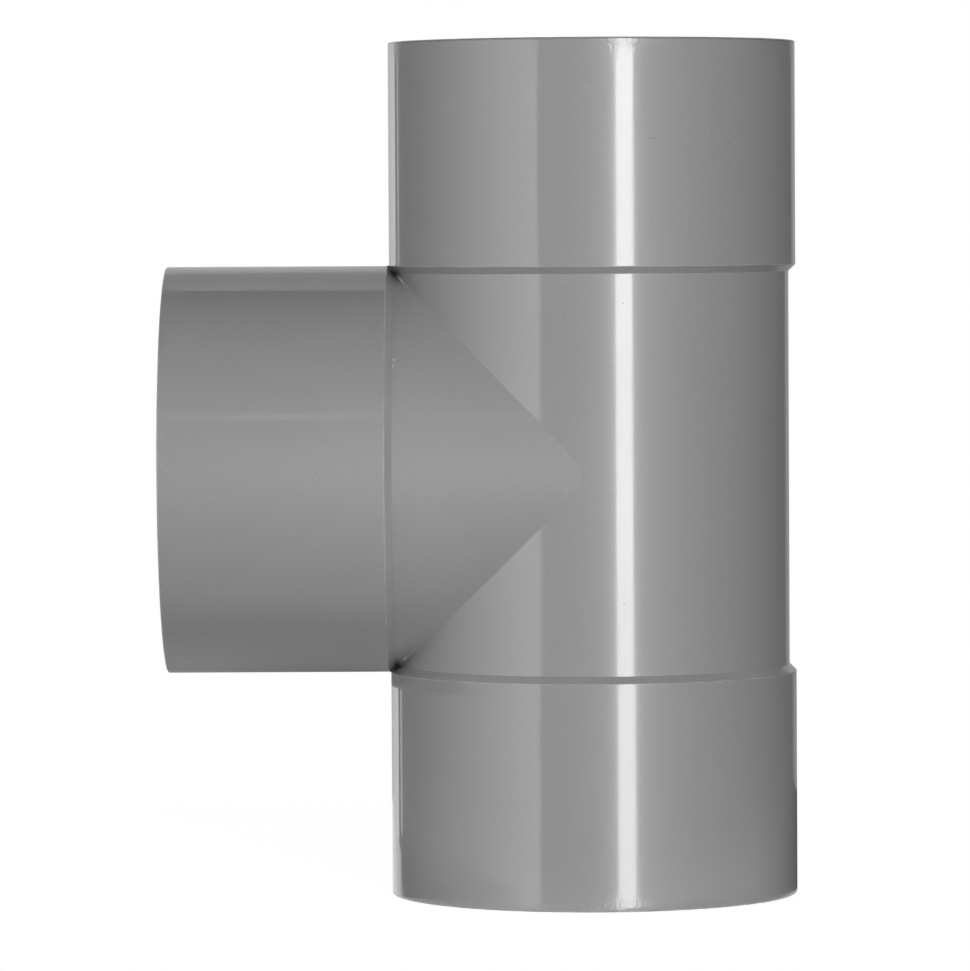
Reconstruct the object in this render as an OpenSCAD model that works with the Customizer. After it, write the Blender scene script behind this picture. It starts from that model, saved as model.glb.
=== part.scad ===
// Equal 90 degree tee for 110 mm drain pipe, moulded in one piece from grey PVC.
// Three plain sockets, each with a pipe stop, joined by two bodies of almost the same
// diameter that cross in a mitred seam, outside and inside. Millimetres, +Z up the run.
// The origin is the centre of the lower socket's mouth and the branch points along -X.

/* [Pipe] */
// Outside diameter of the pipe that the sockets take
pipe_od = 110; // [90:1:125]
// Wall of that pipe, whose bore the waterway carries on
pipe_wall = 2.8; // [2.2:0.1:3.6]

/* [Sockets] */
// Gap between the pipe and the socket, on the radius
socket_gap = 0.2; // [0.1:0.05:0.2]
// Wall of a socket
socket_wall = 3; // [2.4:0.1:3]
// Depth of the run's two sockets, from the mouth to the pipe stop
run_socket_depth = 61; // [48:1:75]
// Depth of the branch's socket, from the mouth to the pipe stop
branch_socket_depth = 61; // [48:1:75]
// Axial depth of the lead-in inside a mouth
lead_in_depth = 0.8; // [0.4:0.1:2]
// How much the lead-in widens a mouth, on the radius
lead_in_width = 0.5; // [0.2:0.1:0.9]

/* [Crossing] */
// How far the run's pipes stop short of the branch pipe's side
run_stop_margin = 6; // [6:0.5:20]
// How far the branch's pipe stops short of the run pipe's side
branch_stop_margin = 6; // [6:0.5:20]
// How much smaller the branch's body and waterway are than the run's, on the radius
branch_relief = 0.1; // [0.05:0.05:0.5]

/* [Shoulders] */
// Thickness behind the run's pipe stops, up to where the shoulder begins
run_stop_backing = 2.8; // [1.6:0.1:2.8]
// Thickness behind the branch's pipe stop, up to where the shoulder begins
branch_stop_backing = 2.4; // [1.6:0.1:2.7]
// Axial length of the shoulder's cone
shoulder_length = 2; // [1.4:0.1:2]
// Drop from a socket's outside to the body, on the radius
shoulder_drop = 2; // [2:0.1:2.6]

/* [Rounded edges] */
// Outer edge of a mouth
mouth_round = 0.5; // [0.2:0.1:1]
// Outward edge, where a socket turns into its shoulder
shoulder_round = 0.5; // [0.2:0.1:1]
// Inward edge, where a shoulder meets the body
foot_round = 0.2; // [0.1:0.05:0.2]
// Inner edge of a pipe stop
stop_round = 0.5; // [0.2:0.1:1]
// Root of a socket, where its bore meets the pipe stop
root_round = 0.4; // [0.2:0.1:1]

/* [Hidden] */
$fn = 180;
// Cutters run this far past the faces that they open
overrun = 1;
// A corner's web is this much larger than the corner that it works on
web_spread = 1.2;
// An arc is this much larger than its named radius, so that it cuts its edges cleanly
arc_bite = 0.0005;
bore_r = pipe_od / 2 + socket_gap;
socket_r = bore_r + socket_wall;
body_r = socket_r - shoulder_drop;
waterway_r = pipe_od / 2 - pipe_wall;
run_half = pipe_od / 2 + run_stop_margin + run_socket_depth;
branch_reach = pipe_od / 2 + branch_stop_margin + branch_socket_depth;
run_edge = run_socket_depth + run_stop_backing;
branch_edge = branch_socket_depth + branch_stop_backing;

// Web between two edges that leave a corner at the angles a and b, and the arc of radius r
// that rounds it. Taken off an outward corner it rounds it, added to an inward one it
// fills it. Its outer sides lie past the edges, and its arc crosses them by a hair.
module corner_web(corner, a, b, r) {
    half = (b - a) / 2;
    centre = corner + r / sin(half) * [cos(a + half), sin(a + half)];
    start = corner + r / tan(half) * [cos(a), sin(a)];
    end = corner + r / tan(half) * [cos(b), sin(b)];
    difference() {
        polygon([centre, for (p = [start, corner, end]) centre + web_spread * (p - centre)]);
        translate(centre) circle(r + arc_bite);
    }
}

// Outside of one arm as a half section: mouth at y = 0, crossing at y = reach, and the
// shoulder from y = edge on
module arm_outline(edge, reach, arm_body_r) {
    drop = socket_r - arm_body_r;
    slope = atan2(shoulder_length, -drop);
    brow = [socket_r, edge];
    foot = [arm_body_r, edge + shoulder_length];
    difference() {
        polygon([[0, 0], [socket_r, 0], brow, foot, [arm_body_r, reach], [0, reach]]);
        corner_web([socket_r, 0], 90, 180, mouth_round);
        corner_web(brow, slope, 270, shoulder_round);
    }
    corner_web(foot, slope - 180, 90, foot_round);
}

// Hollow of one arm as a half section: lead-in, socket, pipe stop and waterway
module arm_hollow(depth, reach, arm_waterway_r) {
    mouth_r = bore_r + lead_in_width;
    difference() {
        polygon([
            [0, -overrun],
            [mouth_r, -overrun],
            [mouth_r, 0],
            [bore_r, lead_in_depth],
            [bore_r, depth],
            [arm_waterway_r, depth],
            [arm_waterway_r, reach],
            [0, reach]
        ]);
        corner_web([bore_r, depth], 180, 270, root_round);
    }
    corner_web([arm_waterway_r, depth], 0, 90, stop_round);
}

// Draws a half section for both ends of the run, as one upright revolve
module run_revolve() {
    rotate_extrude() {
        children();
        translate([0, 2 * run_half]) mirror([0, 1]) children();
    }
}

// Draws a half section for the branch, as one revolve from its mouth to the crossing
module branch_revolve() {
    translate([-branch_reach, 0, run_half]) rotate([0, 90, 0]) rotate_extrude() children();
}

module tee_outside() {
    run_revolve() arm_outline(run_edge, run_half, body_r);
    branch_revolve() arm_outline(branch_edge, branch_reach, body_r - branch_relief);
}

module tee_hollow() {
    run_revolve() arm_hollow(run_socket_depth, run_half, waterway_r);
    branch_revolve()
        arm_hollow(branch_socket_depth, branch_reach, waterway_r - branch_relief);
}

// The whole fitting is one moulding
module tee() {
    color("gray") difference() {
        tee_outside();
        tee_hollow();
    }
}

tee();
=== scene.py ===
import math
import bpy
from mathutils import Matrix, Vector


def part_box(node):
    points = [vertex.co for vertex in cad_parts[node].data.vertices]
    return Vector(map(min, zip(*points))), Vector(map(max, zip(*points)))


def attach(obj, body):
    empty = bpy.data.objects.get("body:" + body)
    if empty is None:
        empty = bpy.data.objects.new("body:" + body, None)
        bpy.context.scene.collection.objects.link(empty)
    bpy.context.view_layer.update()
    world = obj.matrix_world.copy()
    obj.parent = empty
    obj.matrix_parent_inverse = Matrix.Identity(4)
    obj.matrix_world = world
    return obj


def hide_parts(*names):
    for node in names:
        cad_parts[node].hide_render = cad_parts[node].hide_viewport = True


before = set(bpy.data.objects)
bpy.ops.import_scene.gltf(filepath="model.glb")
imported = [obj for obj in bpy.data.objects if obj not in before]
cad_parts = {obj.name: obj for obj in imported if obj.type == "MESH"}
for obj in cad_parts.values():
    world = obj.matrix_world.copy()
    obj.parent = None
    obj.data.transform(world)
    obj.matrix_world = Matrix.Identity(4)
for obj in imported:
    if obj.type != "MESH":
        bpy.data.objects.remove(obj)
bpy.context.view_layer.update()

scene = bpy.context.scene
mm = 0.001


# camera: a long lens a little above the middle, aimed left of the run so the branch fits
cameraSetup = {
    "place": (-13.25, -1925.06, 196.26),    # mm
    "yaw": -0.5285,        # degrees, to the right
    "pitch": -2.3552,      # degrees, up
    "roll": -0.3085,       # degrees; the top of the run leans left in the picture
    "lens": 248.92,
    "sensor": 36.0,
}


def makeCamera(setup):
    data = bpy.data.cameras.new("photoCamera")
    data.lens = setup["lens"]
    data.sensor_width = setup["sensor"]
    data.clip_start = 0.05
    data.clip_end = 60.0
    camera = bpy.data.objects.new("photoCamera", data)
    scene.collection.objects.link(camera)
    yaw = math.radians(setup["yaw"])
    pitch = math.radians(setup["pitch"])
    roll = math.radians(setup["roll"])
    turn = Matrix.Rotation(-yaw, 3, "Z") @ Matrix.Rotation(math.pi / 2 + pitch, 3, "X")
    turn = turn @ Matrix.Rotation(roll, 3, "Z")
    camera.matrix_world = Matrix.LocRotScale(Vector(setup["place"]) * mm, turn, None)
    scene.camera = camera


makeCamera(cameraSetup)
print("camera placed")


# the moulding in mm: the overall sizes come from the frame, the rest are its own
lowCorner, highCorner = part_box("tee")
teeSizes = {
    "socketR": highCorner.x / mm,
    "runLength": highCorner.z / mm,
    "branchReach": -lowCorner.x / mm,
    "boreR": 55.2,
    "bodyR": 56.2,
    "waterwayR": 52.2,
    "branchRelief": 0.1,       # the branch is this much slimmer, outside and inside
    "socketDepth": 61.0,
    "leadInDepth": 0.8,
    "leadInWidth": 0.5,
    "runStopBacking": 2.8,
    "branchStopBacking": 2.4,
    "shoulderLength": 2.0,
    "mouthRound": 0.5,
    "leadInRound": 0.12,
    "shoulderRound": 0.5,
    "footRound": 0.2,
    "stopRound": 0.5,
    "rootRound": 0.4,
    "seamRound": 0.6,          # fillet along the outer seam of run and branch
    "seamCornerRound": 0.08,   # and where the seam runs in between the shoulders
    "seamCornerSpan": 12.0,    # degrees of the branch's girth over which it grows
    "webColumns": 1,           # columns each side of a corner where a web closes the slit
    "innerSeamRound": 0.5,
    "quarterSteps": 60,        # columns in a quarter of the branch's girth
    "farSteps": 120,           # columns round the run's far side
    "roundSteps": 6,
    "bodySteps": 6,
    "rowLength": 9.0,          # longest row on a straight stretch
    "seamSlack": 0.01,         # a row this close to the seam joins it
    "creaseDust": 0.3,         # how much dust lies in the seams, against a rim's wear of 1
    "flatBelow": 0.7,          # faces that turn further than this from their normals stay flat
}


def roundedPath(corners, longest):
    # corners are (radius, depth, rounding, steps); the first and the last only give a direction
    rows = []
    for before, here, after in zip(corners, corners[1:], corners[2:]):
        corner = Vector(here[:2])
        way = (corner - Vector(before[:2])).normalized()
        onward = (Vector(after[:2]) - corner).normalized()
        normal = Vector((-way.y, way.x))
        turn = math.atan2(way.x * onward.y - way.y * onward.x, way.dot(onward))
        side = -1 if turn > 0 else 1          # 1 where the corner stands out
        rounding, steps = here[2:]
        centre = corner - way * rounding * math.tan(abs(turn) / 2) - normal * rounding * side
        for k in range(steps + 1):
            turned = normal.copy()
            turned.rotate(Matrix.Rotation(turn * k / steps, 2))
            edge = side * math.sin(math.pi * k / steps)
            rows.append((centre + turned * rounding * side, turned, edge))
    filled = rows[:1]
    for low, high in zip(rows, rows[1:]):
        pieces = math.ceil((high[0] - low[0]).length / longest)
        for k in range(1, pieces):
            filled.append((low[0].lerp(high[0], k / pieces), low[1], 0.0))
        filled.append(high)
    return filled


def buildTee(s):
    crossing = Vector((0, 0, s["runLength"] / 2))
    quarter, far = s["quarterSteps"], s["farSteps"]
    girth = 4 * quarter
    points, normals, edges, faces, skins = [], [], [], [], []

    def put(place, normal, edge=0.0):
        points.append(place * mm)
        normals.append(normal)
        edges.append(edge)
        return len(points) - 1

    def lay(rows, flip, skin):
        for low, high in zip(rows, rows[1:]):
            for c in range(len(low)):
                d = (c + 1) % len(low)
                face = (low[c], low[d], high[d], high[c])
                face = [v for k, v in enumerate(face) if v != face[k - 1]]
                if len(face) > 2:
                    faces.append(face[::-1] if flip else face)
                    skins.append(skin)

    def browEnd(reach, backing, bodyR):
        # where a socket's straight side ends, measured from the crossing
        turn = math.atan2(s["socketR"] - bodyR, s["shoulderLength"])
        return reach - s["socketDepth"] - backing + s["shoulderRound"] * math.tan(turn / 2)

    def seam(runR, branchR, rounding, cornerRounding, edge):
        # a ball rolled along the crossing of two cylinders; rows go from the run to the branch
        # at the two outer corners a web fills the slit between the shoulders instead
        rows = [[] for k in range(s["roundSteps"] + 1)]
        runEnd = browEnd(s["runLength"] / 2, s["runStopBacking"], runR)
        branchEnd = browEnd(s["branchReach"], s["branchStopBacking"], branchR)
        for i in range(girth):
            phi = math.radians(-90 + 90 * i / quarter)
            away = math.degrees(math.acos(min(1, abs(math.cos(phi)))))
            t = min(1, away / s["seamCornerSpan"])
            ball = cornerRounding + (rounding - cornerRounding) * t * t * (3 - 2 * t)
            y = (branchR + ball) * math.sin(phi)
            x = -math.sqrt((runR + ball) ** 2 - y ** 2)
            centre = Vector((x, y, (branchR + ball) * math.cos(phi)))
            toRun = -Vector((centre.x, y, 0)).normalized()
            toBranch = -Vector((0, y, centre.z)).normalized()
            webbed = (i - quarter + s["webColumns"]) % (2 * quarter) <= 2 * s["webColumns"]
            if edge > 0 and webbed:
                side = math.copysign(1, centre.z)
                start = Vector((0, 0, side * runEnd)) - toRun * s["socketR"]
                finish = Vector((-branchEnd, 0, 0)) - toBranch * s["socketR"]
                normal = Vector((-abs(finish.z - start.z), 0, side * abs(finish.x - start.x)))
                for k, row in enumerate(rows):
                    place = start.lerp(finish, k / s["roundSteps"])
                    row.append(put(crossing + place, normal.normalized()))
                continue
            for k, row in enumerate(rows):
                share = k / s["roundSteps"]
                way = toRun.slerp(toBranch, share)
                dust = -s["creaseDust"] * edge * math.sin(math.pi * share)
                row.append(put(crossing + centre + way * ball, -way * edge, dust))
        return rows

    def runColumns(contactRow):
        # one direction for each column of the run: near side over the branch, then the far side
        near = [Vector((points[i].x, points[i].y, 0)).normalized()
                for i in contactRow[:2 * quarter + 1]]
        first = math.atan2(near[0].y, near[0].x)
        last = math.atan2(near[-1].y, near[-1].x)
        angles = [last + (first - last) * k / far for k in range(1, far)]
        return near + [Vector((math.cos(a), math.sin(a), 0)) for a in angles]

    def arm(mouth, inward, columns, seamRows, backing, bodyR, waterwayR, flip):
        foot = s["socketDepth"] + backing + s["shoulderLength"]
        reach = foot * 2
        steps = s["roundSteps"]
        openR = s["boreR"] + s["leadInWidth"]
        mouthCorner = (s["socketR"], 0, s["mouthRound"], steps)
        outside = roundedPath([
            (bodyR, reach, 0, 1),
            (bodyR, foot, s["footRound"], steps),
            (s["socketR"], foot - s["shoulderLength"], s["shoulderRound"], steps),
            mouthCorner,
            (openR, 0, 0, 1),
        ], s["rowLength"])
        inside = roundedPath([
            mouthCorner,
            (openR, 0, s["leadInRound"], 3),
            (s["boreR"], s["leadInDepth"], s["leadInRound"], 3),
            (s["boreR"], s["socketDepth"], s["rootRound"], steps),
            (waterwayR, s["socketDepth"], s["stopRound"], steps),
            (waterwayR, reach, 0, 1),
        ], s["rowLength"])

        def row(stations, seamRow, dirs):
            # a column starts at the seam, so what lies beyond the seam falls together there
            depths = [(points[c] / mm - mouth).dot(inward) for c in seamRow]
            made = []
            for place, normal, edge in stations:
                made.append([
                    c if place.y > depth - s["seamSlack"] else
                    put(mouth + d * place.x + inward * place.y, d * normal.x + inward * normal.y, edge)
                    for c, depth, d in zip(seamRow, depths, dirs)
                ])
            return made

        def body(station, seamRow, dirs, side):
            made = []
            for b in range(1, s["bodySteps"]):
                t = b / s["bodySteps"]
                line = []
                for c, d in zip(seamRow, dirs):
                    depth = (points[c] / mm - mouth).dot(inward)
                    if station[0].y > depth - s["seamSlack"]:
                        line.append(c)
                        continue
                    depth += (station[0].y - depth) * t
                    line.append(put(mouth + d * station[0].x + inward * depth, d * side))
                made.append(line)
            return made

        outerDirs, innerDirs = columns
        outerSeam, innerSeam = seamRows
        outerRows = [outerSeam] + body(outside[0], outerSeam, outerDirs, 1)
        outerRows += row(outside, outerSeam, outerDirs)
        innerRows = row(inside, innerSeam, innerDirs)
        innerRows += body(inside[-1], innerSeam, innerDirs, -1)[::-1] + [innerSeam]
        lay(outerRows, flip, 0)
        lay([outerRows[-1], innerRows[0]], flip, 0)
        lay(innerRows, flip, 1)

    branchBodyR = s["bodyR"] - s["branchRelief"]
    branchWaterwayR = s["waterwayR"] - s["branchRelief"]
    outerArc = seam(s["bodyR"], branchBodyR, s["seamRound"], s["seamCornerRound"], 1)
    innerArc = seam(s["waterwayR"], branchWaterwayR, s["innerSeamRound"], s["innerSeamRound"], -1)
    lay(outerArc, False, 0)
    lay(innerArc[::-1], False, 1)

    columns, upper, lower = [], [], []
    for arc, radius, side in ((outerArc, s["bodyR"], 1), (innerArc, s["waterwayR"], -1)):
        dirs = runColumns(arc[0])
        farRow = [put(crossing + d * radius, d * side) for d in dirs[2 * quarter + 1:]]
        columns.append(dirs)
        upper.append(arc[0][:2 * quarter + 1] + farRow)
        lower.append([arc[0][-j % girth] for j in range(2 * quarter + 1)] + farRow)
    up = Vector((0, 0, 1))
    arm(Vector((0, 0, s["runLength"])), -up, columns, upper, s["runStopBacking"],
        s["bodyR"], s["waterwayR"], True)
    arm(Vector((0, 0, 0)), up, columns, lower, s["runStopBacking"],
        s["bodyR"], s["waterwayR"], False)
    angles = [math.radians(-90 + 90 * i / quarter) for i in range(girth)]
    branchDirs = [Vector((0, math.sin(a), math.cos(a))) for a in angles]
    arm(crossing - Vector((s["branchReach"], 0, 0)), Vector((1, 0, 0)), (branchDirs, branchDirs),
        (outerArc[-1], innerArc[-1]), s["branchStopBacking"], branchBodyR, branchWaterwayR, False)

    mesh = bpy.data.meshes.new("teeMoulding")
    mesh.from_pydata(points, [], faces)
    mesh.polygons.foreach_set("material_index", skins)
    mesh.shade_smooth()
    mesh.validate(verbose=True)
    attribute = mesh.attributes.new("edge", "FLOAT", "POINT")
    attribute.data.foreach_set("value", edges)
    loopNormals = []
    for polygon in mesh.polygons:
        for v in polygon.vertices:
            normal = normals[v].normalized()
            steep = normal.dot(polygon.normal) < s["flatBelow"]      # the sides of the webs
            loopNormals.append(polygon.normal.copy() if steep else normal)
    mesh.normals_split_custom_set(loopNormals)
    tee = bpy.data.objects.new("teeMoulding", mesh)
    scene.collection.objects.link(tee)
    return tee


tee = buildTee(teeSizes)
print("moulding built,", len(tee.data.polygons), "faces")


# small node helpers, and groups that more than one finish uses
def addNode(tree, kind, sockets=None, **settings):
    node = tree.nodes.new(kind)
    for name, value in settings.items():
        setattr(node, name, value)
    for name, value in (sockets or {}).items():
        node.inputs[name].default_value = value
    return node


def calc(tree, operation, *values):
    node = addNode(tree, "ShaderNodeMath", operation=operation)
    for socket, value in zip(node.inputs, values):
        if isinstance(value, (int, float)):
            socket.default_value = value
        else:
            tree.links.new(value, socket)
    return node.outputs[0]


def weightedSum(tree, start, terms):
    total = start
    for value, weight in terms:
        total = calc(tree, "MULTIPLY_ADD", value, weight, total)
    return total


def remap(tree, value, fromLow, fromHigh, toLow=0.0, toHigh=1.0):
    node = addNode(tree, "ShaderNodeMapRange", {"From Min": fromLow, "From Max": fromHigh,
                                                "To Min": toLow, "To Max": toHigh})
    node.interpolation_type = "SMOOTHSTEP"
    tree.links.new(value, node.inputs["Value"])
    return node.outputs["Result"]


def newGroup(name, inputs, outputs):
    group = bpy.data.node_groups.new(name, "ShaderNodeTree")
    for socketName, kind, value in inputs:
        socket = group.interface.new_socket(socketName, in_out="INPUT", socket_type=kind)
        if value is not None:
            socket.default_value = value
    for socketName, kind in outputs:
        group.interface.new_socket(socketName, in_out="OUTPUT", socket_type=kind)
    start = group.nodes.new("NodeGroupInput")
    end = group.nodes.new("NodeGroupOutput")
    return group, start.outputs, end.inputs


def noise(tree, position, scale, detail=2.0, roughness=0.5):
    node = addNode(tree, "ShaderNodeTexNoise", {"Detail": detail, "Roughness": roughness})
    tree.links.new(position, node.inputs["Vector"])
    if isinstance(scale, (int, float)):
        node.inputs["Scale"].default_value = scale
    else:
        tree.links.new(scale, node.inputs["Scale"])
    return node.outputs["Fac"]


def stretched(tree, position, scale):
    node = addNode(tree, "ShaderNodeMapping", {"Scale": scale})
    tree.links.new(position, node.inputs["Vector"])
    return node.outputs["Vector"]


def strokes(tree, position, turn, scale, chance, width):
    # stretched cells, of which a few hold one mark each
    cells = addNode(tree, "ShaderNodeMapping", {"Rotation": turn, "Scale": scale})
    tree.links.new(position, cells.inputs["Vector"])
    voronoi = addNode(tree, "ShaderNodeTexVoronoi", {"Scale": 1.0})
    tree.links.new(cells.outputs["Vector"], voronoi.inputs["Vector"])
    split = addNode(tree, "ShaderNodeSeparateColor")
    tree.links.new(voronoi.outputs["Color"], split.inputs[0])
    chosen = calc(tree, "GREATER_THAN", split.outputs["Red"], 1 - chance)
    fade = remap(tree, voronoi.outputs["Distance"], 0.0, width, 1.0, 0.0)
    return calc(tree, "MULTIPLY", chosen, fade), split.outputs["Green"]


# scales here are cells in a metre, along x, y and z; a range is where a noise goes from 0 to 1
grainLook = {
    "cloudScale": (14.0, 14.0, 6.0),
    "cloudRange": (0.3, 0.7),
}
markLook = {
    "scratch": {"turn": (0.3, 0.5, 0.3), "scale": (110.0, 800.0, 900.0), "chance": 0.15, "width": 0.14},
    "speck": {"turn": (0.0, 0.0, 0.0), "scale": (480.0, 480.0, 480.0), "chance": 0.12, "width": 0.17},
    "darkSpecks": 0.6,         # share of the specks that are pits
    "lightSpeck": -0.7,        # a light grain, against a pit's 1
    "rubRange": (0.35, 0.68),
}
edgeLook = {
    "wearAndSheenRange": (0.3, 0.62),
    "dustRange": (0.3, 0.6),
}


def mouldGrainGroup():
    # how the plastic filled the mould: orange peel, slow ripples and clouds of tone
    group, given, made = newGroup("mouldGrain", [
        ("Position", "NodeSocketVector", None),
        ("Peel scale", "NodeSocketFloat", 900.0),
        ("Ripple scale", "NodeSocketFloat", 90.0),
        ("Ripple share", "NodeSocketFloat", 4.0),
    ], [("Height", "NodeSocketFloat"), ("Tone", "NodeSocketFloat")])
    peel = noise(group, given["Position"], given["Peel scale"], 2.0)
    ripple = noise(group, given["Position"], given["Ripple scale"], 1.0)
    group.links.new(calc(group, "MULTIPLY_ADD", ripple, given["Ripple share"], peel), made["Height"])
    cloudPlace = stretched(group, given["Position"], grainLook["cloudScale"])
    cloud = noise(group, cloudPlace, 1.0, 4.0, 0.6)
    group.links.new(remap(group, cloud, *grainLook["cloudRange"], -1.0, 1.0), made["Tone"])
    return group


def handlingMarksGroup():
    # what shelves, hands and other fittings leave: short scratches, specks, rubbed patches
    group, given, made = newGroup("handlingMarks", [
        ("Position", "NodeSocketVector", None),
        ("Rub scale", "NodeSocketFloat", 24.0),
    ], [("Scratch", "NodeSocketFloat"), ("Speck", "NodeSocketFloat"), ("Rub", "NodeSocketFloat")])
    place = given["Position"]
    scratch = strokes(group, place, **markLook["scratch"])[0]
    group.links.new(scratch, made["Scratch"])
    # a speck is a dark pit, or now and then a light grain that stands out
    speck, luck = strokes(group, place, **markLook["speck"])
    light = calc(group, "GREATER_THAN", luck, markLook["darkSpecks"])
    sign = calc(group, "MULTIPLY_ADD", light, markLook["lightSpeck"] - 1.0, 1.0)
    group.links.new(calc(group, "MULTIPLY", speck, sign), made["Speck"])
    rub = noise(group, place, given["Rub scale"], 3.0, 0.55)
    group.links.new(remap(group, rub, *markLook["rubRange"]), made["Rub"])
    return group


def edgeWearAndSheenGroup():
    # rubbed outward edges, whose paler tone is partly a painted highlight along the rounded rims, and
    # dust that stays in creases; Edge is 1 on an edge, -1 in a crease
    group, given, made = newGroup("edgeWearAndSheen", [
        ("Position", "NodeSocketVector", None),
        ("Edge", "NodeSocketFloat", 0.0),
        ("Patch scale", "NodeSocketFloat", 160.0),
    ], [("Wear", "NodeSocketFloat"), ("Dust", "NodeSocketFloat")])
    patches = noise(group, given["Position"], given["Patch scale"], 4.0, 0.65)
    outward = calc(group, "MAXIMUM", given["Edge"], 0.0)
    inward = calc(group, "MAXIMUM", calc(group, "MULTIPLY", given["Edge"], -1.0), 0.0)
    rubbed = remap(group, patches, *edgeLook["wearAndSheenRange"])
    dusty = remap(group, patches, *edgeLook["dustRange"])
    # worn edges, paler in tone partly as a painted highlight
    group.links.new(calc(group, "MULTIPLY", outward, rubbed), made["Wear"])
    group.links.new(calc(group, "MULTIPLY", inward, dusty), made["Dust"])
    return group


mouldGrain = mouldGrainGroup()
handlingMarks = handlingMarksGroup()
edgeWearAndSheen = edgeWearAndSheenGroup()


# what each kind of wear adds to the tone and the roughness, inside and outside alike; the worn edges'
# paler tone is partly a painted highlight
wearLook = {
    "tone": {"wear": 0.42, "dust": -0.2, "speck": -0.32, "scratch": 0.3},
    "roughness": {"rub": 0.04, "wear": 0.12, "dust": 0.2},
    "coatRoughness": {"wear": 0.16, "dust": 0.2, "scratch": 0.1},
}
# the moulding's finishes; greys are linear, depths, widths and reaches are in mm
outsideFinish = {
    "grey": 0.312,
    "toneShift": 0.012,
    "ior": 1.53,
    "roughness": 0.30,
    "specular": 0.13,
    "coatWeight": 0.85,
    "coatRoughness": 0.055,
    "rubRoughness": 0.03,
    "peelDepth": 0.003,
    "peelScale": 850.0,
    "rippleScale": 85.0,
    "rippleShare": 4.5,
    "scratchDepth": 0.03,
    "pitDepth": 0.04,
    "scuffDepth": 0.055,       # the sockets' ends are rougher in patches
    "scuffReach": 7.0,
    "scuffScale": 1500.0,
    "scuffPatchScale": 700.0,
    "partingLift": 0.03,       # the mould halves met in the plane of both axes
    "partingWidth": 0.16,
    "partingPatchScale": 45.0,
    "rimGrime": -0.34,         # tone of the upper rim: painted shade, darker there
    "paintedRimShadeFrom": 0.8,       # depths below the rim between which the painted shade sets in
    "rimGrimeTo": 0.45,
}
insideFinish = {
    "grey": 0.305,
    "toneShift": 0.03,
    "ior": 1.53,
    "roughness": 0.36,
    "specular": 0.2,
    "coatWeight": 0.6,
    "coatRoughness": 0.12,
    "rubRoughness": 0.08,
    "peelDepth": 0.005,
    "peelScale": 600.0,
    "rippleScale": 60.0,
    "rippleShare": 5.0,
    "scratchDepth": 0.03,
    "pitDepth": 0.04,
    "drawDepth": 0.01,         # the cores left fine lines as they were drawn out
    "drawTone": 0.04,
    "drawAcross": 700.0,
    "drawAlong": 9.0,
}

# single marks on the front, as in the photo: place and half size in mm, turn in degrees
# some of these are not marks but painted highlights and a broad painted light, each noted below
frontMarksAndPaintedLight = [
    {"at": (16.9, -55.7, 215.8), "half": (1.8, 2.0, 0.32), "turn": 0, "tone": -0.26},
    {"at": (35.0, -46.5, 216.3), "half": (0.6, 2.0, 0.4), "turn": 30, "tone": 0.12},
    {"at": (38.3, -43.8, 214.6), "half": (0.8, 2.0, 0.35), "turn": 40, "tone": -0.18},
    {"at": (41.3, -41.0, 212.4), "half": (0.5, 2.0, 0.4), "turn": 0, "tone": 0.14},
    {"at": (46.2, -35.4, 209.7), "half": (0.9, 2.0, 0.45), "turn": 50, "tone": -0.24},
    {"at": (-46.1, -35.6, 235.5), "half": (0.7, 2.0, 0.5), "turn": 0, "tone": 0.14},
    {"at": (-47.0, -34.3, 225.4), "half": (0.5, 2.0, 0.4), "turn": 0, "tone": -0.12},
    {"at": (-1.6, -58.2, 230.0), "half": (0.5, 2.0, 0.45), "turn": 0, "tone": 0.3},
    {"at": (-8.0, -55.6, 117.6), "half": (2.2, 2.0, 0.3), "turn": -48, "tone": 0.16},
    {"at": (-13.0, -54.7, 112.7), "half": (0.6, 2.0, 0.4), "turn": 20, "tone": 0.14},
    {"at": (2.9, -56.1, 120.8), "half": (0.5, 2.0, 0.6), "turn": 0, "tone": -0.1},
    {"at": (-51.9, -21.5, 150.9), "half": (0.6, 2.0, 0.6), "turn": 0, "tone": 0.14},
    # two very pale small spots by the branch's shoulder
    {"at": (-55.9, -46.0, 154.3), "half": (0.55, 6.0, 0.4), "turn": 20, "tone": 1.0},
    {"at": (-56.1, -46.0, 152.7), "half": (0.4, 6.0, 0.5), "turn": 0, "tone": 0.9},
    # painted highlights: a glint at each of the crossing's two corners, along the seam
    {"at": (-54.4, -19.0, 176.2), "half": (0.4, 14.0, 1.6), "turn": -42, "tone": 1.6},
    {"at": (-54.0, -19.0, 68.6), "half": (0.4, 14.0, 1.5), "turn": 42, "tone": 1.6},
    # painted highlight: a pale line along the foot of the branch's shoulder
    {"at": (-57.1, -50.0, 119.0), "half": (0.3, 14.0, 19.0), "turn": 0, "tone": 0.12},
    {"at": (-30.5, -49.6, 26.7), "half": (0.3, 2.0, 13.0), "turn": 0, "tone": 0.02},
    {"at": (-34.3, -47.0, 197.5), "half": (0.3, 2.0, 7.0), "turn": 0, "tone": 0.02},
    {"at": (-4.0, -58.1, 6.9), "half": (16.0, 4.0, 0.3), "turn": 0, "tone": -0.03},
    # painted light: a broad faint lightening of the front around the crossing, strongest on the branch
    # side
    {"at": (-60.0, -50.0, 119.0), "half": (110.0, 60.0, 50.0), "turn": 0, "tone": 0.075},
]


def spotMask(tree, position, spot):
    local = addNode(tree, "ShaderNodeMapping", {
        "Location": Vector(spot["at"]) * mm,
        "Rotation": (0, math.radians(spot["turn"]), 0),
        "Scale": Vector(spot["half"]) * mm,
    }, vector_type="TEXTURE")
    tree.links.new(position, local.inputs["Vector"])
    reach = addNode(tree, "ShaderNodeVectorMath", operation="LENGTH")
    tree.links.new(local.outputs["Vector"], reach.inputs[0])
    return remap(tree, reach.outputs["Value"], 0.0, 1.0, 1.0, 0.0)


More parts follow.
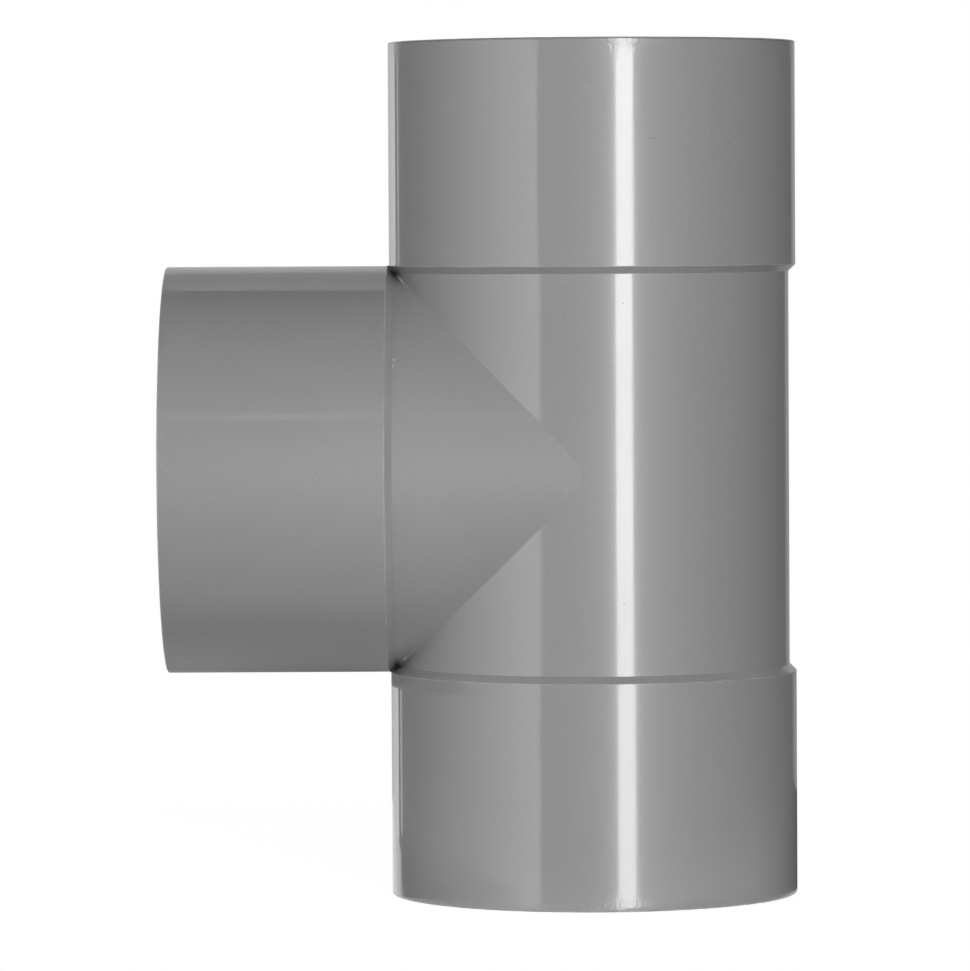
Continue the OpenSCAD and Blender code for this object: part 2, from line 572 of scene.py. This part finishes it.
def plasticMaterial(name, setup):
    # a body lobe that is a little hazy under a sharper skin; returns what a finish adds to
    material = bpy.data.materials.new(name)
    material.use_nodes = True
    tree = material.node_tree
    shader = tree.nodes["Principled BSDF"].inputs
    shader["IOR"].default_value = setup["ior"]
    shader["Specular IOR Level"].default_value = setup["specular"]
    shader["Coat Weight"].default_value = setup["coatWeight"]
    shader["Coat IOR"].default_value = setup["ior"]
    position = addNode(tree, "ShaderNodeTexCoord").outputs["Object"]
    edge = addNode(tree, "ShaderNodeAttribute", attribute_name="edge").outputs["Fac"]
    grain = addNode(tree, "ShaderNodeGroup", {
        "Peel scale": setup["peelScale"],
        "Ripple scale": setup["rippleScale"],
        "Ripple share": setup["rippleShare"],
    }, node_tree=mouldGrain)
    marks = addNode(tree, "ShaderNodeGroup", node_tree=handlingMarks)
    rims = addNode(tree, "ShaderNodeGroup", node_tree=edgeWearAndSheen)
    for node in (grain, marks, rims):
        tree.links.new(position, node.inputs["Position"])
    tree.links.new(edge, rims.inputs["Edge"])
    masks = {socket.name.lower(): socket for node in (marks, rims) for socket in node.outputs}

    def worn(look):
        return [(masks[name], amount) for name, amount in wearLook[look].items()]

    tones = [(grain.outputs["Tone"], setup["toneShift"])] + worn("tone")
    heights = [
        (grain.outputs["Height"], setup["peelDepth"]),
        (masks["scratch"], -setup["scratchDepth"]),
        (masks["speck"], -setup["pitDepth"]),
    ]
    rubbed = [(masks["rub"], setup["rubRoughness"])]
    bodyRoughness = weightedSum(tree, setup["roughness"], worn("roughness"))
    skinRoughness = weightedSum(tree, setup["coatRoughness"], rubbed + worn("coatRoughness"))
    tree.links.new(bodyRoughness, shader["Roughness"])
    tree.links.new(skinRoughness, shader["Coat Roughness"])
    return material, position, tones, heights


def finishPlastic(material, setup, tones, heights):
    tree = material.node_tree
    shader = tree.nodes["Principled BSDF"].inputs
    tone = weightedSum(tree, 1.0, tones)
    tree.links.new(calc(tree, "MULTIPLY", tone, setup["grey"]), shader["Base Color"])
    bump = addNode(tree, "ShaderNodeBump", {"Strength": 1.0, "Distance": mm})
    tree.links.new(weightedSum(tree, 0.0, heights), bump.inputs["Height"])
    tree.links.new(bump.outputs["Normal"], shader["Normal"])
    tree.links.new(bump.outputs["Normal"], shader["Coat Normal"])


def outsidePlastic(setup):
    material, position, tones, heights = plasticMaterial("greyPvcOutside", setup)
    tree = material.node_tree
    split = addNode(tree, "ShaderNodeSeparateXYZ")
    tree.links.new(position, split.inputs[0])
    x, y, z = split.outputs
    # the branch reaches as far from the crossing's middle as the run does
    half = teeSizes["runLength"] / 2 * mm
    clear = half - setup["scuffReach"] * mm
    runEnd = remap(tree, calc(tree, "ABSOLUTE", calc(tree, "SUBTRACT", z, half)), clear, half)
    branchEnd = remap(tree, calc(tree, "MULTIPLY", x, -1.0), clear, half)
    ends = calc(tree, "MAXIMUM", runEnd, branchEnd)
    patches = remap(tree, noise(tree, position, setup["scuffPatchScale"], 2.0, 0.6), 0.4, 0.6)
    scuffs = noise(tree, position, setup["scuffScale"], 2.0, 0.6)
    scuffs = calc(tree, "MULTIPLY", scuffs, calc(tree, "MULTIPLY", ends, patches))
    heights.append((scuffs, setup["scuffDepth"]))
    # the parting line comes and goes
    line = remap(tree, calc(tree, "ABSOLUTE", y), 0.0, setup["partingWidth"] * mm, 1.0, 0.0)
    fade = remap(tree, noise(tree, position, setup["partingPatchScale"], 2.0), 0.3, 0.6, 0.25, 1.0)
    heights.append((calc(tree, "MULTIPLY", line, fade), setup["partingLift"]))
    # painted shade: a darker band just under the upper rim; the lower rim has none
    rimTop = teeSizes["runLength"]
    paintedRimBand = remap(tree, z, (rimTop - setup["paintedRimShadeFrom"]) * mm, (rimTop - setup["rimGrimeTo"]) * mm)
    tones.append((paintedRimBand, setup["rimGrime"]))
    # single marks, and the painted highlights and painted light among them, as tone
    for spot in frontMarksAndPaintedLight:
        tones.append((spotMask(tree, position, spot), spot["tone"]))
    finishPlastic(material, setup, tones, heights)
    return material


def insidePlastic(setup):
    material, position, tones, heights = plasticMaterial("greyPvcInside", setup)
    tree = material.node_tree
    split = addNode(tree, "ShaderNodeSeparateXYZ")
    tree.links.new(position, split.inputs[0])
    across, along = setup["drawAcross"], setup["drawAlong"]
    upright = noise(tree, stretched(tree, position, (across, across, along)), 1.0, 3.0, 0.6)
    level = noise(tree, stretched(tree, position, (along, across, across)), 1.0, 3.0, 0.6)
    inBranch = calc(tree, "LESS_THAN", split.outputs["X"], -teeSizes["boreR"] * mm)
    draws = calc(tree, "MULTIPLY_ADD", calc(tree, "SUBTRACT", level, upright), inBranch, upright)
    heights.append((draws, setup["drawDepth"]))
    tones.append((draws, setup["drawTone"]))
    finishPlastic(material, setup, tones, heights)
    return material


tee.data.materials.append(outsidePlastic(outsideFinish))
tee.data.materials.append(insidePlastic(insideFinish))
print("finishes made")


# studio: azimuths are degrees seen from above, 0 at the camera and positive towards +X
# cards bend round the moulding; a ramp runs across a card, a rise from its foot to its top
# both are (place, glow) pairs; a card that lights is a lamp too, the others are only mirrored
cardColour = (1, 0.985, 0.99, 1)
cardShape = {"radius": 1.7, "low": -0.9, "high": 1.1, "step": 4.0}
bentCards = [
    {"name": "keyStrip", "from": 1.5, "to": 22.4, "lights": True,
     "radius": 1.5, "low": -0.55, "high": 0.85,
     "ramp": ((0.0, 0.7), (0.12, 1.05), (0.26, 1.4), (0.34, 1.9), (0.47, 3.4), (0.54, 8.0),
              (0.568, 15.0), (1.0, 15.0)),
     "rise": ((0.0, 0.5), (0.3, 0.8), (0.58, 1.0), (1.0, 1.0))},
    {"name": "softPanel", "from": -104.0, "to": -30.5,
     "ramp": ((0.0, 0.35), (0.2, 0.55), (0.27, 0.6), (0.517, 1.0), (0.716, 1.45), (0.857, 1.95),
              (0.96, 2.2), (1.0, 2.3))},
    {"name": "panelLight", "from": -104.0, "to": -30.5, "lights": True, "gloss": False,
     "ramp": ((0.0, 0.0), (0.27, 0.2), (0.5, 0.5), (0.716, 1.0), (0.96, 1.6), (1.0, 1.6)),
     "rise": ((0.0, 0.4), (0.4, 0.85), (0.6, 1.1), (1.0, 1.35))},
    {"name": "frontCard", "from": -30.5, "to": 1.5,
     "ramp": ((0.0, 0.12), (0.33, 0.12), (0.64, 0.3), (0.83, 0.5), (1.0, 0.7)),
     "rise": ((0.0, 0.0), (0.15, 0.05), (0.2, 0.15), (0.34, 0.7), (0.42, 1.0), (0.62, 1.0),
              (0.75, 0.5), (0.9, 0.05), (1.0, 0.0))},
    {"name": "rightCard", "from": 22.4, "to": 154.0,
     "ramp": ((0.0, 4.5), (0.012, 3.0), (0.023, 2.0), (0.034, 1.4), (0.068, 0.95), (0.103, 0.85),
              (0.138, 0.65), (0.174, 0.55), (0.211, 0.4), (0.277, 0.32), (0.33, 0.2),
              (0.425, 0.1), (0.57, 0.04), (0.8, 0.08), (1.0, 0.12))},
    {"name": "rearRightCard", "from": 154.0, "to": 180.0,
     "ramp": ((0.0, 0.45), (1.0, 0.5)),
     "rise": ((0.0, 0.7), (0.36, 0.72), (0.6, 1.0), (1.0, 1.0))},
    {"name": "leftCard", "from": -146.8, "to": -104.0,
     "ramp": ((0.0, 0.02), (0.079, 0.02), (0.085, 1.1), (0.15, 1.1), (0.156, 0.25), (1.0, 0.3))},
    {"name": "rearLeftCard", "from": -180.0, "to": -146.8,
     "ramp": ((0.0, 0.57), (0.36, 0.62), (0.51, 0.68), (0.73, 0.97), (0.9, 1.3), (1.0, 1.5))},
]
# flat cards lie level; the flags keep the floor's glow out of the gloss near the foot
flatCards = [
    {"name": "ceilingCard", "x": (-1.7, 1.7), "y": (-1.8, 0.74), "z": 1.3, "glow": 0.0},
    {"name": "rearCeilingCard", "x": (-1.7, 1.7), "y": (0.74, 4.0), "z": 1.3, "glow": 0.65,
     "rise": ((0.0, 1.12), (0.06, 0.85), (0.17, 0.6), (1.0, 0.6))},
    {"name": "lowCard", "x": (-1.7, 1.7), "y": (-1.8, 0.2), "z": -0.9, "glow": 0.05, "lights": True},
    {"name": "underBranchCard", "x": (-0.13, -0.03), "y": (-0.05, 0.4), "z": 0.06,
     "ramp": ((0.0, 1.0), (0.184, 0.91), (0.32, 0.76), (0.456, 0.67), (0.656, 0.62),
              (0.72, 0.8), (1.0, 0.8)),
     "rise": ((0.0, 0.0), (0.032, 0.0), (0.051, 0.36), (0.065, 0.48), (0.09, 0.42),
              (0.101, 0.32), (1.0, 0.32))},
    {"name": "leftFlag", "z": 0.0006, "glow": 0.15,
     "corners": ((-0.17, -0.09), (-0.045, -0.09), (-0.056, -0.018), (-0.17, 0.146))},
    {"name": "rightFlag", "x": (0.0, 0.22), "y": (-0.062, 0.32), "z": 0.0006,
     "ramp": ((0.0, 0.7), (0.3, 0.65), (0.42, 0.35), (0.5, 0.12), (1.0, 0.1))},
    {"name": "rightRearFlag", "z": 0.0012, "glow": 0.075,
     "corners": ((0.03, -0.04), (0.22, -0.008), (0.22, 0.32), (0.03, 0.32)),
     "rise": ((0.0, 4.5), (0.05, 2.2), (0.12, 1.0), (1.0, 1.0))},
]
fillLamps = [
    {"name": "backFill", "azimuth": 180.0, "size": (1.2, 1.4), "watts": 9.0},
    {"name": "leftFill", "azimuth": -60.0, "size": (0.5, 1.0), "watts": 2.0},
]
lampPlace = {"distance": 1.6, "height": 0.5, "target": (0.0, 0.0, 0.12)}
worldSetup = {"fill": 0.12, "background": 1.0}
floorSetup = {
    "x": (-0.14, 0.075),
    "y": (-0.062, 0.3),
    "colour": 0.4,
    "roughness": 0.9,
    "glow": 0.88,          # to the camera and in the gloss
    "bounce": 0.3,         # on the moulding
}


def polar(azimuth, distance, height):
    a = math.radians(azimuth)
    return Vector((math.sin(a) * distance, -math.cos(a) * distance, height))


def rampCurve(tree, value, ramp):
    # a curve of straight pieces through (place, value) pairs
    curve = addNode(tree, "ShaderNodeFloatCurve")
    top = max(max(v for p, v in ramp), 0.001)
    points = curve.mapping.curves[0].points
    for i, (place, level) in enumerate(ramp):
        if i < 2:
            points[i].location = (place, level / top)
        else:
            points.new(place, level / top)
    for point in points:
        point.handle_type = "VECTOR"
    curve.mapping.update()
    tree.links.new(value, curve.inputs["Value"])
    return calc(tree, "MULTIPLY", curve.outputs[0], top)


def glowMaterial(name, ramp, rise):
    material = bpy.data.materials.new(name)
    material.use_nodes = True
    tree = material.node_tree
    tree.nodes.clear()
    out = tree.nodes.new("ShaderNodeOutputMaterial")
    glow = addNode(tree, "ShaderNodeEmission", {"Color": cardColour})
    tree.links.new(glow.outputs[0], out.inputs["Surface"])
    across = addNode(tree, "ShaderNodeTexCoord")
    split = addNode(tree, "ShaderNodeSeparateXYZ")
    tree.links.new(across.outputs["UV"], split.inputs[0])
    strength = rampCurve(tree, split.outputs["X"], ramp)
    strength = calc(tree, "MULTIPLY", strength, rampCurve(tree, split.outputs["Y"], rise))
    tree.links.new(strength, glow.inputs["Strength"])
    return material


def addCard(name, points, faces, uvs, setup):
    # cards are seen in the gloss only, and light the moulding where they are lamps
    level = setup.get("glow", 0.0)
    ramp = setup.get("ramp", ((0.0, level), (1.0, level)))
    rise = setup.get("rise", ((0.0, 1.0), (1.0, 1.0)))
    mesh = bpy.data.meshes.new(name)
    mesh.from_pydata(points, [], faces)
    layer = mesh.uv_layers.new(name="across")
    for loop in mesh.loops:
        layer.data[loop.index].uv = uvs[loop.vertex_index]
    mesh.materials.append(glowMaterial(name, ramp, rise))
    card = bpy.data.objects.new(name, mesh)
    card.visible_camera = False
    card.visible_shadow = False
    card.visible_transmission = False
    card.visible_diffuse = setup.get("lights", False)
    card.visible_glossy = setup.get("gloss", True)
    scene.collection.objects.link(card)


def bentCard(setup):
    shape = {**cardShape, **setup}
    span = shape["to"] - shape["from"]
    steps = max(2, round(span / shape["step"]))
    points, uvs = [], []
    for k in range(steps + 1):
        azimuth = shape["from"] + span * k / steps
        for height, v in ((shape["low"], 0), (shape["high"], 1)):
            points.append(polar(azimuth, shape["radius"], height))
            uvs.append((k / steps, v))
    faces = [(2 * k, 2 * k + 2, 2 * k + 3, 2 * k + 1) for k in range(steps)]
    addCard(setup["name"], points, faces, uvs, setup)


def flatCard(setup):
    corners = setup.get("corners")
    if corners is None:
        (x0, x1), (y0, y1) = setup["x"], setup["y"]
        corners = ((x0, y0), (x1, y0), (x1, y1), (x0, y1))
    points = [Vector((x, y, setup["z"])) for x, y in corners]
    addCard(setup["name"], points, [(0, 1, 2, 3)], [(0, 0), (1, 0), (1, 1), (0, 1)], setup)


def fillLamp(setup):
    data = bpy.data.lights.new(setup["name"], "AREA")
    data.shape = "RECTANGLE"
    data.size, data.size_y = setup["size"]
    data.energy = setup["watts"]
    light = bpy.data.objects.new(setup["name"], data)
    place = polar(setup["azimuth"], lampPlace["distance"], lampPlace["height"])
    light.location = place
    light.rotation_mode = "QUATERNION"
    light.rotation_quaternion = (Vector(lampPlace["target"]) - place).to_track_quat("-Z", "Y")
    light.visible_camera = False
    light.visible_glossy = False
    scene.collection.objects.link(light)


def lightPathSum(tree):
    # 1 where the camera, the gloss or glass looks at it, 0 where it only lights
    path = addNode(tree, "ShaderNodeLightPath")
    seen = calc(tree, "MAXIMUM", path.outputs["Is Camera Ray"], path.outputs["Is Glossy Ray"])
    return calc(tree, "MAXIMUM", seen, path.outputs["Is Transmission Ray"])


def buildWorld(setup):
    world = bpy.data.worlds.new("studio")
    world.use_nodes = True
    scene.world = world
    tree = world.node_tree
    seen = lightPathSum(tree)
    strength = remap(tree, seen, 0.0, 1.0, setup["fill"], setup["background"])
    back = tree.nodes["Background"]
    back.inputs["Color"].default_value = (1, 1, 1, 1)
    tree.links.new(strength, back.inputs["Strength"])


def buildFloor(setup):
    (x0, x1), (y0, y1) = setup["x"], setup["y"]
    corners = [(x0, y0), (x1, y0), (x1, y1), (x0, y1)]
    mesh = bpy.data.meshes.new("paleFloor")
    mesh.from_pydata([(x, y, 0) for x, y in corners], [], [(0, 1, 2, 3)])
    material = bpy.data.materials.new("paleFloor")
    material.use_nodes = True
    tree = material.node_tree
    shader = tree.nodes["Principled BSDF"].inputs
    shader["Base Color"].default_value = (setup["colour"],) * 3 + (1,)
    shader["Roughness"].default_value = setup["roughness"]
    shader["Specular IOR Level"].default_value = 0.0
    shader["Emission Color"].default_value = (1, 1, 1, 1)
    glow = remap(tree, lightPathSum(tree), 0.0, 1.0, setup["bounce"], setup["glow"])
    tree.links.new(glow, shader["Emission Strength"])
    mesh.materials.append(material)
    floor = bpy.data.objects.new("paleFloor", mesh)
    scene.collection.objects.link(floor)


for lamp in fillLamps:
    fillLamp(lamp)
for card in bentCards:
    bentCard(card)
for card in flatCards:
    flatCard(card)
buildWorld(worldSetup)
buildFloor(floorSetup)
print("studio set up")

scene.view_settings.view_transform = "Standard"
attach(tee, "root")
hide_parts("tee")
